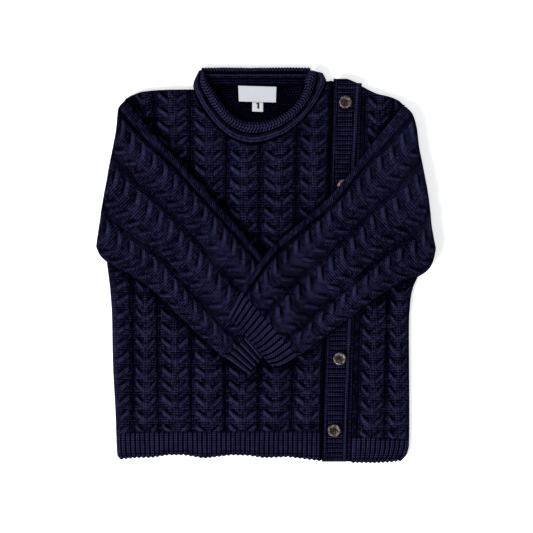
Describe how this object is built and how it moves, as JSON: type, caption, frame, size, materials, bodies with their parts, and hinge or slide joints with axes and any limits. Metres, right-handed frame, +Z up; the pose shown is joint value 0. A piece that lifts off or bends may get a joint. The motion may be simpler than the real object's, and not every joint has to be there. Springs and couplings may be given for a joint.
{
  "type": "knit cardigan, child's, laid flat with folded sleeves",
  "caption": "Child's navy cable-knit cardigan laid flat, sleeves folded across the front, rolled neckband and an offset button band.",
  "frame": {"origin": "on the surface that the garment lies on, under the middle of its outline", "axes": "+Z up from the surface, +Y towards the collar, +X towards the wearer's left side, which is the viewer's right"},
  "size_m": [0.3129, 0.3644, 0.024],
  "materials": {
    "navy_knit": "soft knitted wool and cotton, matt with a faint blue sheen",
    "navy_rib": "the same yarn knitted in rib and stockinette",
    "horn_button": "horn-like taupe resin with a paler worn rim",
    "white_label": "woven satin tape"
  },
  "bodies": {
    "root": {"back": "navy_knit", "front_wide": "navy_knit", "front_narrow": "navy_knit", "sleeve_right": "navy_knit", "sleeve_left": "navy_knit", "neckband_front": "navy_rib", "neckband_back": "navy_rib", "buttonhole_band": "navy_rib", "button_band": "navy_rib", "button_1": "horn_button", "button_2": "horn_button", "button_3": "horn_button", "button_4": "horn_button", "button_5": "horn_button", "neck_label": "white_label", "size_label": "white_label"}
  },
  "joints": []
}
